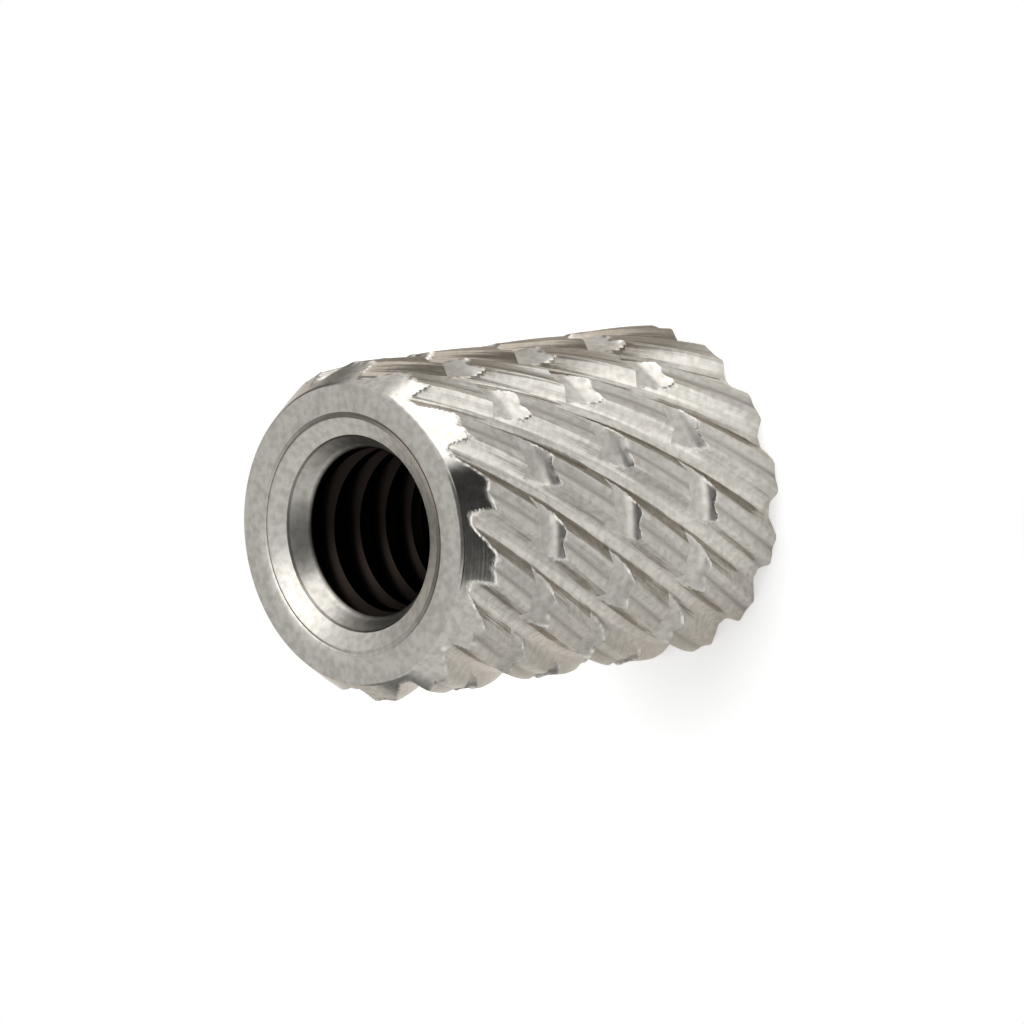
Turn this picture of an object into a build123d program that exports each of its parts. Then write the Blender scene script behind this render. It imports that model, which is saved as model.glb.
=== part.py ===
import os
from math import cos, degrees, radians, sin, tan

from build123d import *

# Threaded insert: one turned, knurled and tapped piece.
# Millimetres. The origin is at the middle of the far end, and +Z points at the lead-in end.

# Overall size, measured across the knurl crests
crest_diameter = 7.3
body_length = 9.55

# Helical knurl rolled along the whole bar. Each crest keeps a shallow seam along its middle,
# where the metal rolled up from both sides meets without filling.
tooth_count = 14
helix_angle = 31.5
knurl_depth = 0.3
crest_width = 0.66
valley_width = 0.17
seam_depth = 0.06
first_valley_angle = -1.4

# Lead-in chamfer on the end that enters the hole first
lead_in_length = 0.73
lead_in_depth = 0.44

# Grooves turned through the knurl, which leave it standing in bands. Each has a square wall
# behind one band, and a scooped bottom: a nearly level floor that bends into a ramp and
# comes up at the next band's crests.
groove_count = 3
first_groove_distance = 1.99
groove_pitch = 2.39
groove_width = 0.83
groove_depth = 0.25
floor_angle = 7.0
ramp_angle = 38.0
scoop_radius = 0.6

# Bore at the thread's minor diameter. The thread itself is left off.
bore_diameter = 3.6

# Mouth: a flat countersink, then a steep cone that narrows to where the thread begins.
# Both depths are measured from the lead-in face. The far end has the tap's run-out.
mouth_diameter = 4.96
countersink_depth = 0.2
cone_diameter = 4.2
cone_end_diameter = 3.73
cone_end_depth = 0.72
exit_diameter = 4.3
thread_lead_angle = 45.0

# How far a cutting profile reaches past the metal that it removes
cutter_overrun = 0.5

crest_radius = crest_diameter / 2
valley_radius = crest_radius - knurl_depth
floor_radius = crest_radius - groove_depth
bore_radius = bore_diameter / 2
mouth_radius = mouth_diameter / 2
cone_radius = cone_diameter / 2
cone_end_radius = cone_end_diameter / 2
exit_radius = exit_diameter / 2
outer_radius = crest_radius + cutter_overrun


def on_ring(radius, angle):
    """The point of a cross section at this radius and at this angle in degrees."""
    return (radius * cos(radians(angle)), radius * sin(radians(angle)))


# Cross section of the knurled bar: five corners for each tooth, from one valley to the next
tooth_step = 360 / tooth_count
half_crest = degrees(crest_width / 2 / crest_radius)
half_valley = degrees(valley_width / 2 / valley_radius)
bar_corners = []
for tooth in range(tooth_count):
    valley_angle = first_valley_angle + tooth * tooth_step
    crest_angle = valley_angle + tooth_step / 2
    bar_corners += [
        on_ring(valley_radius, valley_angle - half_valley),
        on_ring(valley_radius, valley_angle + half_valley),
        on_ring(crest_radius, crest_angle - half_crest),
        on_ring(crest_radius - seam_depth, crest_angle),
        on_ring(crest_radius, crest_angle + half_crest),
    ]

with BuildSketch() as bar_section:
    with BuildLine():
        Polyline(*bar_corners, close=True)
    make_face()

# The teeth climb the bar as right-handed helices
bar_twist = degrees(body_length * tan(radians(helix_angle)) / crest_radius)
knurled_bar = Solid.extrude_linear_with_rotation(
    section=bar_section.face(),
    center=(0, 0, 0),
    normal=(0, 0, body_length),
    angle=bar_twist,
)

# Lead-in cone, cut with a ring whose inner side is the chamfer carried past the crests
lead_in_slope = lead_in_length / lead_in_depth
with BuildSketch(Plane.XZ) as lead_in_section:
    with BuildLine():
        cone_foot = (outer_radius, body_length - lead_in_length - cutter_overrun * lead_in_slope)
        cone_top = (
            crest_radius - lead_in_depth - cutter_overrun,
            body_length + cutter_overrun * lead_in_slope,
        )
        Polyline(cone_foot, cone_top, (outer_radius, cone_top[1]), close=True)
    make_face()

# One groove, as a ring section whose wall is at height zero
floor_slope = tan(radians(floor_angle))
ramp_slope = tan(radians(ramp_angle))
ramp_foot_distance = (groove_width * ramp_slope - groove_depth) / (ramp_slope - floor_slope)
ramp_foot_radius = floor_radius + ramp_foot_distance * floor_slope
with BuildSketch(Plane.XZ) as groove_section:
    with BuildLine():
        Polyline(
            (floor_radius, 0),
            (ramp_foot_radius, -ramp_foot_distance),
            (outer_radius, -groove_width - cutter_overrun / ramp_slope),
            (outer_radius, 0),
            close=True,
        )
    make_face()
    ramp_foot = groove_section.vertices().sort_by(Axis.Y)[1]
    fillet(ramp_foot, radius=scoop_radius)

# The whole bore, from the countersunk mouth down to the run-out at the far end
lead_run = 1 / tan(radians(thread_lead_angle))
thread_top = body_length - cone_end_depth - (cone_end_radius - bore_radius) * lead_run
thread_end = (exit_radius - bore_radius) * lead_run
with BuildSketch(Plane.XZ) as bore_section:
    with BuildLine():
        Polyline(
            (0, 0),
            (exit_radius, 0),
            (bore_radius, thread_end),
            (bore_radius, thread_top),
            (cone_end_radius, body_length - cone_end_depth),
            (cone_radius, body_length - countersink_depth),
            (mouth_radius, body_length),
            (0, body_length),
            close=True,
        )
    make_face()

with BuildPart() as insert_body:
    add(knurled_bar)
    revolve(lead_in_section.sketch, axis=Axis.Z, mode=Mode.SUBTRACT)
    for groove in range(groove_count):
        wall_height = body_length - first_groove_distance - groove * groove_pitch
        add(groove_section.sketch.moved(Location((0, 0, wall_height))))
        revolve(axis=Axis.Z, mode=Mode.SUBTRACT)
    revolve(bore_section.sketch, axis=Axis.Z, mode=Mode.SUBTRACT)

insert_body.part.label = "insert_body"
os.makedirs("parts", exist_ok=True)
export_step(insert_body.part, "parts/insert_body.step")
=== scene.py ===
from math import atan2, cos, hypot, pi, radians, sin, tan

import bmesh
import bpy
from mathutils import Matrix, Vector, noise


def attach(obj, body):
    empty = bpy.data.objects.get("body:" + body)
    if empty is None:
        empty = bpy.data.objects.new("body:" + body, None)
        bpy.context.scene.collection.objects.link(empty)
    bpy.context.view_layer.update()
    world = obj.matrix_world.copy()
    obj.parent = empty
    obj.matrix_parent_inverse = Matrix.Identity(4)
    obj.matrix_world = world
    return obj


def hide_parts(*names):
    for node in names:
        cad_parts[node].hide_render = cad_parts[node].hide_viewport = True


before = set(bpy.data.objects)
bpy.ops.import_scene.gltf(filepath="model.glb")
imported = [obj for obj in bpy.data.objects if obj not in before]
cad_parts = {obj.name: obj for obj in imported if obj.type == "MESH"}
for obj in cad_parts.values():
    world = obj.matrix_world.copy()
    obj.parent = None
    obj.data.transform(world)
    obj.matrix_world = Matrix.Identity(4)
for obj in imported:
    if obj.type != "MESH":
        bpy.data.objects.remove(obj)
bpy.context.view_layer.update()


# The insert: one piece of stainless bar, rolled between knurling wheels that press fourteen coarse
# helical valleys into it, then drilled, tapped and countersunk. Three grooves and the lead-in are
# turned through the knurl, which leaves it in bands with torn front edges.

MM = 0.001
body_length = 9.55
crest_radius = 3.65
valley_radius = 3.35

# Each groove has a square wall behind one band, a nearly level floor, and a ramp that comes up at
# the crests of the band below. A round scoop joins the floor and the ramp.
groove_count = 3
first_groove = 1.99
groove_pitch = 2.39
groove_width = 0.83
wall_foot_radius = 3.4
floor_angle = radians(7)
ramp_angle = radians(38)
scoop_radius = 0.6
scoop_steps = 8
groove_walls = [
    body_length - first_groove - groove * groove_pitch for groove in range(groove_count)
]

# Where a groove's ramp would meet its floor if the scoop between them were a corner
foot_distance = (groove_width * tan(ramp_angle) - crest_radius + wall_foot_radius) / (
    tan(ramp_angle) - tan(floor_angle)
)
foot_radius = wall_foot_radius + foot_distance * tan(floor_angle)

# The round at the foot of a groove's wall, as distances out and up from the corner
wall_foot_round = [(0.004, -0.03), (0.01, -0.01), (0.03, 0.0)]

# The mesh is finer this far below each cut edge, for the burrs that stand there
burr_strip = 0.16


def even_steps(start, end, count):
    """The profile points after start, up to and with end."""
    return [
        (start[0] + (end[0] - start[0]) * i / count, start[1] + (end[1] - start[1]) * i / count)
        for i in range(1, count + 1)
    ]


def groove_profile(start, wall):
    """One band's outside from start, then the groove above it: ramp, scoop, floor and wall."""
    front = wall - groove_width
    foot = wall - foot_distance
    tangent = scoop_radius * tan((ramp_angle - floor_angle) / 2)
    ramp_end = (foot_radius + tangent * sin(ramp_angle), foot - tangent * cos(ramp_angle))
    middle_radius = ramp_end[0] + scoop_radius * cos(ramp_angle)
    middle_height = ramp_end[1] + scoop_radius * sin(ramp_angle)
    wall_foot = [(wall_foot_radius + out, wall + up) for out, up in wall_foot_round]
    points = even_steps(start, (crest_radius, front - burr_strip), 12)
    points += even_steps(points[-1], (crest_radius, front), 6)
    points += even_steps(points[-1], ramp_end, 6)
    for step in range(1, scoop_steps + 1):
        angle = ramp_angle + (floor_angle - ramp_angle) * step / scoop_steps
        points.append((
            middle_radius - scoop_radius * cos(angle), middle_height - scoop_radius * sin(angle)
        ))
    points += even_steps(points[-1], wall_foot[0], 5) + wall_foot[1:]
    return points + even_steps(points[-1], (crest_radius, wall), 3)


# The lead-in cone and the end face, whose edge is just broken. The countersink tool cut a fine
# ring in the face round the mouth.
lead_in_length = 0.73
cone_foot = body_length - lead_in_length
face_radius = 3.21
face_bevel = 0.022
face_bevel_depth = 0.036
face_middle_radius = 2.9
ring_radius = 2.56
ring_half_width = 0.06
ring_depth = 0.03

# The bore: a flat countersink, a steep cone that narrows to where the thread begins, the hole
# before tapping, and the run-out at the far end
mouth_radius = 2.48
mouth_bevel = 0.01
countersink_depth = 0.2
countersink_floor = body_length - countersink_depth
cone_radius = 2.1
cone_bevel = 0.012
cone_bevel_depth = 0.02
cone_end_radius = 1.85
cone_end_depth = 0.6
cone_end = body_length - cone_end_depth
bore_radius = 1.8
bore_middle = 5.0
exit_radius = 2.15
far_end_radii = (2.6, 3.1, 3.3)


def turned_profile():
    """The half section of the turned bar as (radius, height), up the outside and down the bore."""
    points = [(radius, 0.0) for radius in (*far_end_radii, crest_radius)]
    for wall in reversed(groove_walls):
        points += groove_profile(points[-1], wall)
    points += even_steps(points[-1], (crest_radius, cone_foot - burr_strip), 9)
    points += even_steps(points[-1], (crest_radius, cone_foot), 6)
    cone_top = (face_radius + face_bevel, body_length - face_bevel_depth)
    points += even_steps(points[-1], cone_top, 20)
    points += [
        (face_radius - face_bevel, body_length),
        (face_middle_radius, body_length),
        (ring_radius + ring_half_width, body_length),
        (ring_radius, body_length - ring_depth),
        (ring_radius - ring_half_width, body_length),
        (mouth_radius, body_length - mouth_bevel),
    ]
    points += even_steps(points[-1], (cone_radius + cone_bevel, countersink_floor), 4)
    points += [(cone_radius, countersink_floor - cone_bevel_depth)]
    points += even_steps(points[-1], (cone_end_radius, cone_end), 4)
    return points + [
        (bore_radius, cone_end - cone_end_radius + bore_radius),
        (bore_radius, bore_middle),
        (bore_radius, exit_radius - bore_radius),
        (exit_radius, 0.0),
    ]


# The knurl's teeth climb the bar as right-handed helices. Each crest keeps a shallow seam, where
# the metal rolled up from both sides met, and the steeper flank of each tooth has a gentler foot.
tooth_count = 14
tooth_step = 2 * pi / tooth_count
helix_angle = radians(31.5)
helix_rate = tan(helix_angle) / crest_radius
first_valley = radians(-1.4)
seam_depth = 0.06
flank_foot = 0.07

# The rolled surface from one valley's middle to the next: the angle in degrees, the radius, the
# mesh column that keeps the corner there, and how much it is darkened by painted shade with some
# dirt.
rolled_corners = [
    (0.0, valley_radius, 0, 0.0),
    (3.0, valley_radius, 3, 0.1),
    (4.6, valley_radius + flank_foot, 5, 0.15),
    (7.7, crest_radius, 9, 0.0),
    (11.2, crest_radius - seam_depth * 0.6, 14, 0.1),
    (12.86, crest_radius - seam_depth, 16, 0.6),
    (14.4, crest_radius - seam_depth * 0.7, 18, 0.1),
    (17.8, crest_radius, 22, 0.0),
    (24.4, valley_radius, 30, 0.1),
    (25.72, valley_radius, 32, 0.0),
]
corner_degrees, corner_radii, corner_columns, corner_shade_and_grime = zip(*rolled_corners)
corner_angles = [radians(degrees) for degrees in corner_degrees]
columns_per_tooth = corner_columns[-1]

# A worn corner takes the mean of the true surface at these turns round it, in degrees
worn_over = (-0.6, -0.2, 0.2, 0.6)

# Uneven rolling: waves about 0.45 mm wide and 2 mm long, and streaks about 0.17 mm wide and 1.4 mm
# long, with each one's height. The counts are per millimetre, round the bar and along it.
waves_round, waves_along, wave_height = 2.2, 0.5, 0.014
streaks_round, streaks_along, streak_height = 6.0, 0.7, 0.013

# The torn edges that turning left on the teeth: how far each reaches over the surface, the height
# and the unevenness of its rim, and about how many tears there are in a millimetre
burr_reach = 0.07
burr_rim = 0.004
burr_unevenness = 0.055
burr_tears = 7.0


def read_off(value, marks, readings):
    """The reading for this value, on straight lines between the marks."""
    for i in range(1, len(marks)):
        if value <= marks[i]:
            share = (value - marks[i - 1]) / (marks[i] - marks[i - 1])
            return readings[i - 1] + (readings[i] - readings[i - 1]) * share
    return readings[-1]


def knurl_angle(column):
    """The angle of a mesh column, with each tooth's columns placed so that its corners get one."""
    tooth, part = divmod(column, columns_per_tooth)
    return tooth * tooth_step + read_off(part, corner_columns, corner_angles)


def knurl_radius(angle):
    """Radius of the rolled surface at this angle from a valley's middle, its corners worn round."""
    return sum(
        read_off((angle + radians(shift)) % tooth_step, corner_angles, corner_radii)
        for shift in worn_over
    ) / len(worn_over)


def cut_radius(height):
    """Radius of the cone or ramp that ends the band at this height, carried on past the crests."""
    cut = face_radius + (body_length - height) * (crest_radius - face_radius) / lead_in_length
    for wall in groove_walls:
        if height < wall - foot_distance:
            cut = min(cut, crest_radius + (wall - groove_width - height) * tan(ramp_angle))
    return cut


def rolled_wear(angle, height):
    """How far the rolled surface stands off its true form here, from uneven rolling."""
    place = Vector((cos(angle), sin(angle), 0)) * crest_radius
    wave = noise.noise(place * waves_round + Vector((0, 0, height * waves_along)))
    streak = noise.noise(place * streaks_round + Vector((7, 0, height * streaks_along)))
    return wave_height * wave + streak_height * streak


def burr_height(angle, height, radius):
    """Height of the torn edge that turning the cone and the grooves left on the teeth."""
    gap = abs(cut_radius(height) - radius) / burr_reach
    if gap > 1:
        return 0
    place = Vector((cos(angle), sin(angle), 0)) * crest_radius
    torn = noise.noise(place * burr_tears + Vector((0, 0, height)))
    return max(0, burr_rim + burr_unevenness * torn) * (1 - gap)


def new_piece(name, mesh):
    """A new object with this mesh, in the scene."""
    piece = bpy.data.objects.new(name, mesh)
    bpy.context.scene.collection.objects.link(piece)
    return piece


# The bar is turned from its profile, and the knurl then brings its outside down to the teeth
outside_from = valley_radius - 0.02
turned = bmesh.new()
profile = [turned.verts.new((r * MM, 0, z * MM)) for r, z in turned_profile()]
outline = [turned.edges.new(pair) for pair in zip(profile, profile[1:])]
outline.append(turned.edges.new((profile[-1], profile[0])))
column_count = tooth_count * columns_per_tooth
bmesh.ops.spin(
    turned, geom=profile + outline, cent=(0, 0, 0), axis=(0, 0, 1), dvec=(0, 0, 0),
    angle=2 * pi, steps=column_count, use_merge=True, use_duplicate=False,
)
for vert in turned.verts:
    radius = hypot(vert.co.x, vert.co.y) / MM
    height = vert.co.z / MM
    column = round(atan2(vert.co.y, vert.co.x) / (2 * pi) * column_count) % column_count
    across = knurl_angle(column)
    angle = across + first_valley + helix_rate * height
    rolled = knurl_radius(across) + rolled_wear(across, height)
    if radius > outside_from:
        rolled += burr_height(angle, height, rolled)
        radius = min(radius, rolled)
    vert.co = Vector((radius * cos(angle), radius * sin(angle), height)) * MM
bmesh.ops.remove_doubles(turned, verts=turned.verts, dist=0.0004 * MM)
bmesh.ops.recalc_face_normals(turned, faces=turned.faces)
body_mesh = bpy.data.meshes.new("insert")
turned.to_mesh(body_mesh)
turned.free()
insert = new_piece("insert", body_mesh)

# The tap: a core with the thread's ridge wound round it, closed to a point past each end. Its
# ridge fades out just below the mouth's cone, where the thread begins.
thread_pitch = 0.794
thread_radius = 2.083
thread_crest_width = 0.1
thread_flank_angle = radians(30)
thread_start = -0.4
thread_turns = 13
turn_steps = 96
core_radius = bore_radius - 0.05

flank_width = (thread_radius - core_radius) * tan(thread_flank_angle)
half_crest = thread_crest_width / 2
ridge = [
    (core_radius, -half_crest - flank_width),
    (thread_radius, -half_crest),
    (thread_radius, half_crest),
    (core_radius, half_crest + flank_width),
    (core_radius, thread_pitch - half_crest - flank_width),
]
tap = bmesh.new()
ridge_verts = [tap.verts.new((r * MM, 0, (thread_start + z) * MM)) for r, z in ridge]
ridge_edges = [tap.edges.new(pair) for pair in zip(ridge_verts, ridge_verts[1:])]
bmesh.ops.spin(
    tap, geom=ridge_verts + ridge_edges, cent=(0, 0, 0), axis=(0, 0, 1),
    dvec=(0, 0, thread_pitch / turn_steps * MM), angle=2 * pi * thread_turns,
    steps=turn_steps * thread_turns, use_merge=False, use_duplicate=False,
)
for vert in tap.verts:
    ring = Vector((vert.co.x, vert.co.y, 0))
    fade = core_radius + max(0, cone_end - vert.co.z / MM)
    if ring.length > fade * MM:
        vert.co = ring * (fade * MM / ring.length) + Vector((0, 0, vert.co.z))
bmesh.ops.remove_doubles(tap, verts=tap.verts, dist=0.002 * MM)
for top in (False, True):
    rim = [
        edge for edge in tap.edges
        if edge.is_boundary and (edge.verts[0].co.z > bore_middle * MM) == top
    ]
    cap = bmesh.ops.extrude_edge_only(tap, edges=rim)["geom"]
    points = [item for item in cap if isinstance(item, bmesh.types.BMVert)]
    middle = sum(point.co.z for point in points) / len(points)
    bmesh.ops.pointmerge(tap, verts=points, merge_co=(0, 0, middle))
bmesh.ops.recalc_face_normals(tap, faces=tap.faces)
tap_mesh = bpy.data.meshes.new("tap")
tap.to_mesh(tap_mesh)
tap.free()
tap_tool = new_piece("tap", tap_mesh)

tapping = insert.modifiers.new("tapping", "BOOLEAN")
tapping.operation = "DIFFERENCE"
tapping.solver = "EXACT"
tapping.object = tap_tool
tapped_insert = insert.evaluated_get(bpy.context.evaluated_depsgraph_get())
tapped = bpy.data.meshes.new_from_object(tapped_insert)
insert.modifiers.clear()
insert.data = tapped
bpy.data.objects.remove(tap_tool)
bpy.data.meshes.remove(tap_mesh)
bpy.data.meshes.remove(body_mesh)
tapped.name = "insert"

# Each vertex is marked for what its surface is: rolled or turned, burred, and how much painted
# shade and dirt darken it. Edges sharper than this angle stay sharp to the light.
marked_from = valley_radius - 0.05
rolled_margin = 0.035
full_burr = 0.03
sharp_angle = radians(28)
finished = bmesh.new()
finished.from_mesh(tapped)
rolled_layer = finished.verts.layers.float.new("rolled")
burr_layer = finished.verts.layers.float.new("burr")
shade_and_grime_layer = finished.verts.layers.float.new("shade_and_grime")
for vert in finished.verts:
    radius = hypot(vert.co.x, vert.co.y) / MM
    if radius > marked_from:
        height = vert.co.z / MM
        angle = atan2(vert.co.y, vert.co.x)
        across = angle - first_valley - helix_rate * height
        rolled = knurl_radius(across)
        vert[shade_and_grime_layer] = read_off(across % tooth_step, corner_angles, corner_shade_and_grime)
        vert[rolled_layer] = 1 if radius > rolled - rolled_margin else 0
        vert[burr_layer] = min(1, burr_height(angle, height, rolled) / full_burr)
for face in finished.faces:
    face.smooth = True
for edge in finished.edges:
    edge.smooth = len(edge.link_faces) != 2 or edge.calc_face_angle(0) < sharp_angle
finished.to_mesh(tapped)
finished.free()


def srgb(code):
    """The linear colour of an sRGB hex value."""
    parts = [int(code[i:i + 2], 16) / 255 for i in (1, 3, 5)]
    linear = [p / 12.92 if p <= 0.04045 else ((p + 0.055) / 1.055) ** 2.4 for p in parts]
    return (*linear, 1)


def add_node(tree, kind, inputs=(), **settings):
    """A new node with these settings. Each input is a value or another node's output."""
    node = tree.nodes.new(kind)
    for name, value in settings.items():
        setattr(node, name, value)
    for name, value in dict(inputs).items():
        if isinstance(value, bpy.types.NodeSocket):
            tree.links.new(value, node.inputs[name])
        else:
            node.inputs[name].default_value = value
    return node


# Austenitic stainless steel, turned and rolled: warm silver, smooth and bright on the lead-in
# cone, greyer and streaked along the teeth where the wheels smeared it, with a painted highlight
# on the burrs. The threads are painted dark brown, for the shade deep in the bore and the tapping
# oil left in them.
steel = bpy.data.materials.new("turned_stainless_steel")
steel.use_nodes = True
tree = steel.node_tree
shader = tree.nodes["Principled BSDF"]
shader.inputs["Metallic"].default_value = 1.0
shader.inputs["Specular Tint"].default_value = srgb("#dcd6cf")

place = add_node(tree, "ShaderNodeTexCoord").outputs["Object"]
in_mm = add_node(
    tree, "ShaderNodeVectorMath", {0: place, 1: (1000, 1000, 1000)}, operation="MULTIPLY"
).outputs[0]
up = add_node(tree, "ShaderNodeSeparateXYZ", {0: in_mm}).outputs["Z"]
flat = add_node(
    tree, "ShaderNodeVectorMath", {0: in_mm, 1: (1, 1, 0)}, operation="MULTIPLY"
).outputs[0]
off_axis = add_node(
    tree, "ShaderNodeVectorMath", {0: flat}, operation="LENGTH"
).outputs["Value"]
rolled_mask = add_node(tree, "ShaderNodeAttribute", attribute_name="rolled").outputs["Fac"]
burr_mask = add_node(tree, "ShaderNodeAttribute", attribute_name="burr").outputs["Fac"]
# Painted shade, with some dirt, in each tooth's seam and at the feet of its flanks
shade_and_grime_mask = add_node(tree, "ShaderNodeAttribute", attribute_name="shade_and_grime").outputs["Fac"]

# The wheels' streaks run along the teeth, about 0.17 mm apart and 2.4 mm long.
streaks_per_mm = 6.0
streak_stretch = 0.07
untwist = add_node(tree, "ShaderNodeMath", {0: up, 1: -helix_rate}, operation="MULTIPLY")
along = add_node(
    tree, "ShaderNodeVectorRotate", {"Vector": in_mm, "Angle": untwist.outputs[0]},
    rotation_type="Z_AXIS",
)
stretched = add_node(
    tree, "ShaderNodeVectorMath", {0: along.outputs[0], 1: (1, 1, streak_stretch)},
    operation="MULTIPLY",
)
streaks = add_node(
    tree, "ShaderNodeTexNoise",
    {"Vector": stretched.outputs[0], "Scale": streaks_per_mm, "Detail": 2.5, "Roughness": 0.6},
).outputs["Fac"]

# The tool's feed marks are rings on the face, the cones and the floors. Real ones are about 0.06 mm
# apart. They are drawn 0.09 mm apart, so that they show.
feed_marks_per_mm = 11.0
ring_drift = 0.02
ring_place = add_node(tree, "ShaderNodeMath", {0: off_axis, 1: up}, operation="SUBTRACT")
ring_vector = add_node(tree, "ShaderNodeCombineXYZ", {"X": ring_place.outputs[0]})
drift = add_node(
    tree, "ShaderNodeVectorMath", {0: flat, 1: (ring_drift, ring_drift, 0)}, operation="MULTIPLY"
)
ring_mix = add_node(
    tree, "ShaderNodeVectorMath", {0: ring_vector.outputs[0], 1: drift.outputs[0]}, operation="ADD"
)
rings = add_node(
    tree, "ShaderNodeTexNoise",
    {"Vector": ring_mix.outputs[0], "Scale": feed_marks_per_mm, "Detail": 2.0},
).outputs["Fac"]

# The bare metal is faintly mottled, in spots of about 0.17 mm.
spots_per_mm = 6.0
grain = add_node(
    tree, "ShaderNodeTexNoise", {"Vector": in_mm, "Scale": spots_per_mm, "Detail": 3.0}
).outputs["Fac"]

# The relief: feed marks under a micrometre high where it is turned, and streaks with a little of
# the grain, 0.02 mm high, where it is rolled.
uneven = add_node(
    tree, "ShaderNodeMix", {"Factor": 0.15, "A": streaks, "B": grain}, data_type="FLOAT"
)
relief = add_node(
    tree, "ShaderNodeMix", {"Factor": rolled_mask, "A": rings, "B": uneven.outputs[0]},
    data_type="FLOAT",
)
relief_depth = add_node(
    tree, "ShaderNodeMapRange", {"Value": rolled_mask, "To Min": 0.0008 * MM, "To Max": 0.02 * MM}
)
bump = add_node(
    tree, "ShaderNodeBump",
    {"Strength": 1.0, "Height": relief.outputs[0], "Distance": relief_depth.outputs["Result"]},
)
tree.links.new(bump.outputs["Normal"], shader.inputs["Normal"])

tint = add_node(tree, "ShaderNodeValToRGB", {"Fac": grain})
dark_spots, pale_spots = tint.color_ramp.elements
dark_spots.color = srgb("#a09d96")
dark_spots.position = 0.36
pale_spots.color = srgb("#b2afa9")
pale_spots.position = 0.6

# Painted shade darkens the bottoms of the streaks and the grooves, and the face is a little darker
# than the lead-in cone. Painted light brightens the valleys and the far bands.
into_cone = {"Value": up, "From Min": cone_foot - 0.1, "From Max": cone_foot}
into_face = {"Value": up, "From Min": body_length - 0.02, "From Max": body_length - 0.005}
out_of_valley = {
    "Value": off_axis, "From Min": valley_radius + 0.05, "From Max": crest_radius - 0.04
}
# Painted shade in the bottoms of the streaks
streak_shade = add_node(
    tree, "ShaderNodeMapRange",
    {"Value": streaks, "From Min": 0.35, "From Max": 0.6, "To Min": 0.86, "To Max": 1.0},
)
# Painted shade in the grooves; the lead-in cone is brighter
groove_painted_shade = add_node(
    tree, "ShaderNodeMapRange", {**into_cone, "To Min": 0.88, "To Max": 1.1}
)
turned_shade = add_node(
    tree, "ShaderNodeMapRange",
    {**into_face, "To Min": groove_painted_shade.outputs["Result"], "To Max": 0.95},
)
# Painted light in the valleys
valley_painted_light = add_node(
    tree, "ShaderNodeMapRange", {**out_of_valley, "To Min": 1.2, "To Max": 1.0}
)
knurl_shade = add_node(
    tree, "ShaderNodeMath",
    {0: streak_shade.outputs["Result"], 1: valley_painted_light.outputs["Result"]}, operation="MULTIPLY",
)
surface_shade = add_node(
    tree, "ShaderNodeMix",
    {"Factor": rolled_mask, "A": turned_shade.outputs["Result"], "B": knurl_shade.outputs[0]},
    data_type="FLOAT",
)
# Painted light on the far bands, brighter toward the far end
far_painted_light = add_node(
    tree, "ShaderNodeMapRange",
    {"Value": up, "From Min": 1.0, "From Max": 4.0, "To Min": 1.18, "To Max": 1.0},
)
whole_shade = add_node(
    tree, "ShaderNodeMath",
    {0: surface_shade.outputs[0], 1: far_painted_light.outputs["Result"]}, operation="MULTIPLY",
)
shaded = add_node(
    tree, "ShaderNodeVectorMath",
    {0: tint.outputs["Color"], 1: whole_shade.outputs[0]}, operation="MULTIPLY",
)

# Painted brown shade darkens one side of the knurl.
shaded_side_turn = radians(-16)
outward = add_node(
    tree, "ShaderNodeVectorMath", {0: flat}, operation="NORMALIZE"
).outputs[0]
to_shaded_side = add_node(
    tree, "ShaderNodeVectorMath",
    {0: outward, 1: (cos(shaded_side_turn), sin(shaded_side_turn), 0)}, operation="DOT_PRODUCT",
)
shaded_side_edge = add_node(
    tree, "ShaderNodeMath", {0: streaks, 1: 0.12, 2: to_shaded_side.outputs["Value"]},
    operation="MULTIPLY_ADD",
)
shaded_side = add_node(
    tree, "ShaderNodeMapRange",
    {"Value": shaded_side_edge.outputs[0], "From Min": 0.98, "From Max": 1.04, "To Min": 0.0,
     "To Max": 0.75},
)
shaded_side_share = add_node(
    tree, "ShaderNodeMath", {0: shaded_side.outputs["Result"], 1: rolled_mask}, operation="MULTIPLY"
)
side_shaded = add_node(
    tree, "ShaderNodeMix",
    {"Factor": shaded_side_share.outputs[0], "A": shaded.outputs[0], "B": srgb("#6b6154")},
    data_type="RGBA",
)

# Torn burrs are dull and scatter the light; their colour, paler than the teeth round them, is a
# painted highlight.
burr_painted_highlight = add_node(
    tree, "ShaderNodeMix", {"Factor": burr_mask, "A": side_shaded.outputs[2], "B": srgb("#e4e1dc")},
    data_type="RGBA",
)

# Painted shade with some dirt darkens each tooth's seam and the feet of its flanks. Painted shade
# darkens the corner where the mouth's cone begins, and one side of the fine ring that the
# countersink tool cut round the mouth.
# The side of the fine ring that takes the most painted shade
ring_turn = radians(-58)
corner_half_width = 0.02
mouth_shade_depth = 0.25
on_rolled = add_node(
    tree, "ShaderNodeMath", {0: shade_and_grime_mask, 1: rolled_mask}, operation="MULTIPLY"
)
ring_gap = add_node(
    tree, "ShaderNodeMath", {0: off_axis, 1: ring_radius, 2: ring_half_width}, operation="COMPARE"
)
near_face = add_node(
    tree, "ShaderNodeMath", {0: up, 1: body_length - mouth_shade_depth}, operation="GREATER_THAN"
)
on_ring = add_node(
    tree, "ShaderNodeMath", {0: ring_gap.outputs[0], 1: near_face.outputs[0]},
    operation="MULTIPLY",
)
ring_side = add_node(
    tree, "ShaderNodeVectorMath",
    {0: outward, 1: (cos(ring_turn), sin(ring_turn), 0)}, operation="DOT_PRODUCT",
)
ring_share = add_node(
    tree, "ShaderNodeMapRange",
    {"Value": ring_side.outputs["Value"], "From Min": -0.5, "From Max": 0.5, "To Min": 0.1,
     "To Max": 0.85},
)
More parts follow.
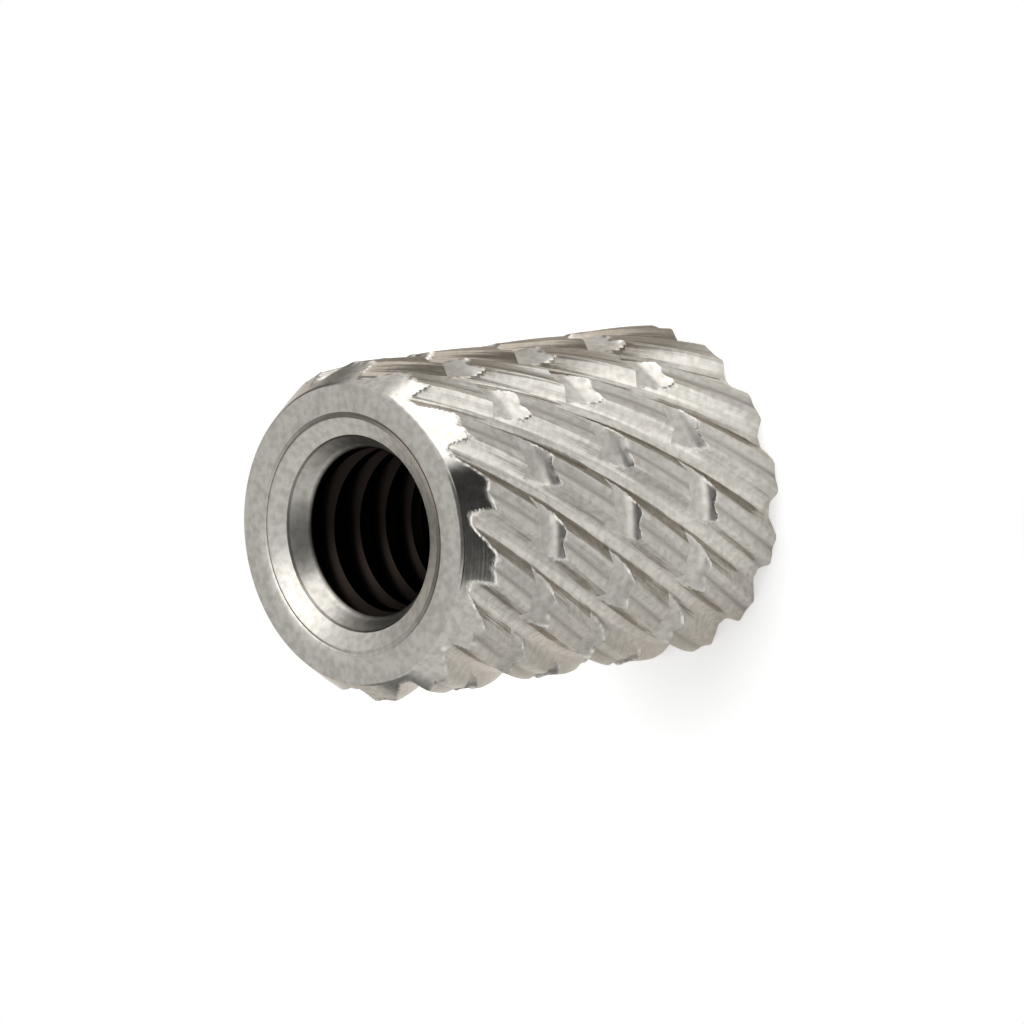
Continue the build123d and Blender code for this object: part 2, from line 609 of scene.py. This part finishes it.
in_ring = add_node(
    tree, "ShaderNodeMath", {0: on_ring.outputs[0], 1: ring_share.outputs["Result"]},
    operation="MULTIPLY",
)
corner_gap = add_node(
    tree, "ShaderNodeMath", {0: off_axis, 1: cone_radius, 2: corner_half_width},
    operation="COMPARE",
)
in_corner = add_node(
    tree, "ShaderNodeMath", {0: corner_gap.outputs[0], 1: 0.6}, operation="MULTIPLY"
)
at_corner = add_node(
    tree, "ShaderNodeMath", {0: in_corner.outputs[0], 1: near_face.outputs[0]},
    operation="MULTIPLY",
)
at_mouth = add_node(
    tree, "ShaderNodeMath", {0: in_ring.outputs[0], 1: at_corner.outputs[0]},
    operation="MAXIMUM",
)
patches = add_node(
    tree, "ShaderNodeMapRange",
    {"Value": grain, "From Min": 0.3, "From Max": 0.6, "To Min": 0.35, "To Max": 0.95},
)
in_patches = add_node(
    tree, "ShaderNodeMath", {0: on_rolled.outputs[0], 1: patches.outputs["Result"]},
    operation="MULTIPLY",
)
shade_and_grime_share = add_node(
    tree, "ShaderNodeMath", {0: in_patches.outputs[0], 1: at_mouth.outputs[0]},
    operation="MAXIMUM",
)
# The painted shade, with dirt on the teeth, laid over the colour
shade_and_grime_darkened = add_node(
    tree, "ShaderNodeMix",
    {"Factor": shade_and_grime_share.outputs[0], "A": burr_painted_highlight.outputs[2], "B": srgb("#4d463f")},
    data_type="RGBA",
)

# The thread's part of the bore, nearer the axis than any outside surface and below the cone, is
# painted dark brown for the shade deep in it and the tapping oil left there.
inside_radius = 2.3
in_bore = add_node(
    tree, "ShaderNodeMath", {0: off_axis, 1: inside_radius}, operation="LESS_THAN"
)
under_cone = add_node(
    tree, "ShaderNodeMapRange",
    {"Value": up, "From Min": cone_end - 0.04, "From Max": cone_end + 0.03, "To Min": 1.0,
     "To Max": 0.0},
)
oiled_and_shaded = add_node(
    tree, "ShaderNodeMath", {0: in_bore.outputs[0], 1: under_cone.outputs["Result"]},
    operation="MULTIPLY",
)
colour = add_node(
    tree, "ShaderNodeMix",
    {"Factor": oiled_and_shaded.outputs[0], "A": shade_and_grime_darkened.outputs[2], "B": srgb("#201b18")},
    data_type="RGBA",
)
tree.links.new(colour.outputs[2], shader.inputs["Base Color"])

# The lead-in cone is the smoothest, then the rolled teeth, the grooves and the mouth, and the
# end face. The burrs are the roughest.
ring_edge = ring_radius + ring_half_width
turned_roughness = add_node(
    tree, "ShaderNodeMapRange", {**into_cone, "To Min": 0.32, "To Max": 0.14}
)
face_roughness = add_node(
    tree, "ShaderNodeMapRange",
    {**into_face, "To Min": turned_roughness.outputs["Result"], "To Max": 0.36},
)
mouth_roughness = add_node(
    tree, "ShaderNodeMapRange",
    {"Value": off_axis, "From Min": ring_edge, "From Max": ring_edge + 0.08, "To Min": 0.33,
     "To Max": face_roughness.outputs["Result"]},
)
roughness = add_node(
    tree, "ShaderNodeMix",
    {"Factor": rolled_mask, "A": mouth_roughness.outputs["Result"], "B": 0.24},
    data_type="FLOAT",
)
burr_roughness = add_node(
    tree, "ShaderNodeMix", {"Factor": burr_mask, "A": roughness.outputs[0], "B": 0.5},
    data_type="FLOAT",
)
tree.links.new(burr_roughness.outputs[0], shader.inputs["Roughness"])

tapped.materials.clear()
tapped.materials.append(steel)
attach(insert, "root")
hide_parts("insert_body")


# The floor: a round of plain white card, big enough to keep the insert's shadow. The white
# tent goes on beyond its edge.

card_radius = 10.5
card_lift = 0.35


def seen_rays(tree):
    """One for the rays that show a thing to the lens, straight, mirrored or through glass."""
    rays = add_node(tree, "ShaderNodeLightPath").outputs
    seen = add_node(
        tree, "ShaderNodeMath", {0: rays["Is Camera Ray"], 1: rays["Is Glossy Ray"]},
        operation="MAXIMUM",
    )
    return add_node(
        tree, "ShaderNodeMath", {0: seen.outputs[0], 1: rays["Is Transmission Ray"]},
        operation="MAXIMUM",
    ).outputs[0]


floor_mesh = bpy.data.meshes.new("floor")
sheet = bmesh.new()
bmesh.ops.create_circle(sheet, cap_ends=True, radius=card_radius * MM, segments=96)
sheet.to_mesh(floor_mesh)
sheet.free()
floor = new_piece("floor", floor_mesh)
card = bpy.data.materials.new("white_card")
card.use_nodes = True
tree = card.node_tree
card_shader = tree.nodes["Principled BSDF"]
card_shader.inputs["Base Color"].default_value = srgb("#f2f2f2")
card_shader.inputs["Roughness"].default_value = 0.9
card_shader.inputs["Emission Color"].default_value = (1, 1, 1, 1)
lift = add_node(tree, "ShaderNodeMath", {0: seen_rays(tree), 1: card_lift}, operation="MULTIPLY")
tree.links.new(lift.outputs[0], card_shader.inputs["Emission Strength"])
floor_mesh.materials.append(card)


# The light: a white tent. Seen from the insert, four softboxes stand round the lens, and the cloth
# is greyer at the lens, to its upper right and in two places behind the insert. A narrow gap in the
# cloth at the lens's right is dark.

camera_right = Vector((-0.14411, -0.71560, -0.68349))
camera_up = Vector((0.98956, -0.10421, -0.09953))
camera_back = camera_right.cross(camera_up)

world = bpy.data.worlds.new("light_tent")
bpy.context.scene.world = world
world.use_nodes = True
tree = world.node_tree
tent = tree.nodes["Background"]
outlook = add_node(tree, "ShaderNodeTexCoord").outputs["Generated"]


def tent_patch(direction, inner, outer):
    """A soft round patch: one up to the inner angle from this direction, none past the outer."""
    facing = add_node(
        tree, "ShaderNodeVectorMath", {0: outlook, 1: direction.normalized()},
        operation="DOT_PRODUCT",
    )
    return add_node(
        tree, "ShaderNodeMapRange",
        {"Value": facing.outputs["Value"], "From Min": cos(radians(outer)),
         "From Max": cos(radians(inner))},
        interpolation_type="SMOOTHSTEP",
    ).outputs["Result"]


def lay_cloth(brightness, share, new_brightness):
    """The tent's brightness with another cloth laid over a share of it."""
    return add_node(
        tree, "ShaderNodeMix", {"Factor": share, "A": brightness, "B": new_brightness},
        data_type="FLOAT",
    ).outputs[0]


def toward(off_lens, turn):
    """The direction this many degrees off the lens's, turned by this from the picture's right."""
    across = camera_right * cos(radians(turn)) + camera_up * sin(radians(turn))
    return camera_back * cos(radians(off_lens)) + across * sin(radians(off_lens))


# The gap is a band that stands upright in the picture, this far to the right of the lens. Its
# sides and its ends are soft: it is fully dark up to the first angle and gone at the second.
gap_turn = radians(28)
gap_core = radians(6)
gap_edge = radians(11)
gap_length = (32, 44)
gap_brightness = 0.03
gap_middle = camera_right * sin(gap_turn) + camera_back * cos(gap_turn)
gap_across = camera_right * cos(gap_turn) - camera_back * sin(gap_turn)
beside_gap = add_node(
    tree, "ShaderNodeVectorMath", {0: outlook, 1: gap_across}, operation="DOT_PRODUCT"
)
from_gap = add_node(
    tree, "ShaderNodeMath", {0: beside_gap.outputs["Value"]}, operation="ABSOLUTE"
)
in_gap = add_node(
    tree, "ShaderNodeMapRange",
    {"Value": from_gap.outputs[0], "From Min": sin(gap_edge), "From Max": sin(gap_core)},
    interpolation_type="SMOOTHSTEP",
)
gap = add_node(
    tree, "ShaderNodeMath", {0: in_gap.outputs["Result"], 1: tent_patch(gap_middle, *gap_length)},
    operation="MULTIPLY",
)

# Each softbox and each grey cloth: where its middle is, the angles in degrees from there at which
# it begins to fade and is gone, and its brightness. The white cloth is seen as pure white, which
# is one, and gives a little less light than that.
softboxes = [
    (toward(49, 12), 14, 24, 2.3),
    (toward(58, -30), 12, 24, 1.8),
    (toward(72, 80), 27, 37, 2.7),
    (toward(52, 158), 14, 24, 3.2),
]
grey_cloths = [
    (camera_back, 18, 30, 0.2),
    (toward(59, 52), 9, 18, 0.55),
    (Vector((0.55, 0.8, -0.1)), 12, 24, 0.25),
    (Vector((-0.8, 0.6, -0.15)), 8, 18, 0.3),
]
white = add_node(
    tree, "ShaderNodeMix", {"Factor": seen_rays(tree), "A": 0.9, "B": 1.0}, data_type="FLOAT"
).outputs[0]
brightness = white
for direction, inner, outer, new_brightness in softboxes + grey_cloths:
    brightness = lay_cloth(brightness, tent_patch(direction, inner, outer), new_brightness)
brightness = lay_cloth(brightness, gap.outputs[0], gap_brightness)

# The lens itself sees plain white cloth behind the insert, and not the softboxes.
rays = add_node(tree, "ShaderNodeLightPath")
shown = add_node(
    tree, "ShaderNodeMix",
    {"Factor": rays.outputs["Is Camera Ray"], "A": brightness, "B": white}, data_type="FLOAT",
)
tree.links.new(shown.outputs[0], tent.inputs["Strength"])
tent.inputs["Color"].default_value = (1, 1, 1, 1)


# The camera: a long lens turned on its side, because the photograph shows the insert lying down.
# Its place is given in crest radii from the middle of the far end.

lens_place = Vector((-0.0044, -42.124, body_length / crest_radius + 42.737))
camera = bpy.data.objects.new("camera", bpy.data.cameras.new("camera"))
bpy.context.scene.collection.objects.link(camera)
turn = Matrix((camera_right, camera_up, camera_back)).transposed()
camera.matrix_world = Matrix.Translation(lens_place * crest_radius * MM) @ turn.to_4x4()
camera.data.lens = 362.7
camera.data.sensor_width = 36
camera.data.clip_start = 0.01
camera.data.clip_end = 5
bpy.context.scene.camera = camera
bpy.context.scene.view_settings.view_transform = "Standard"
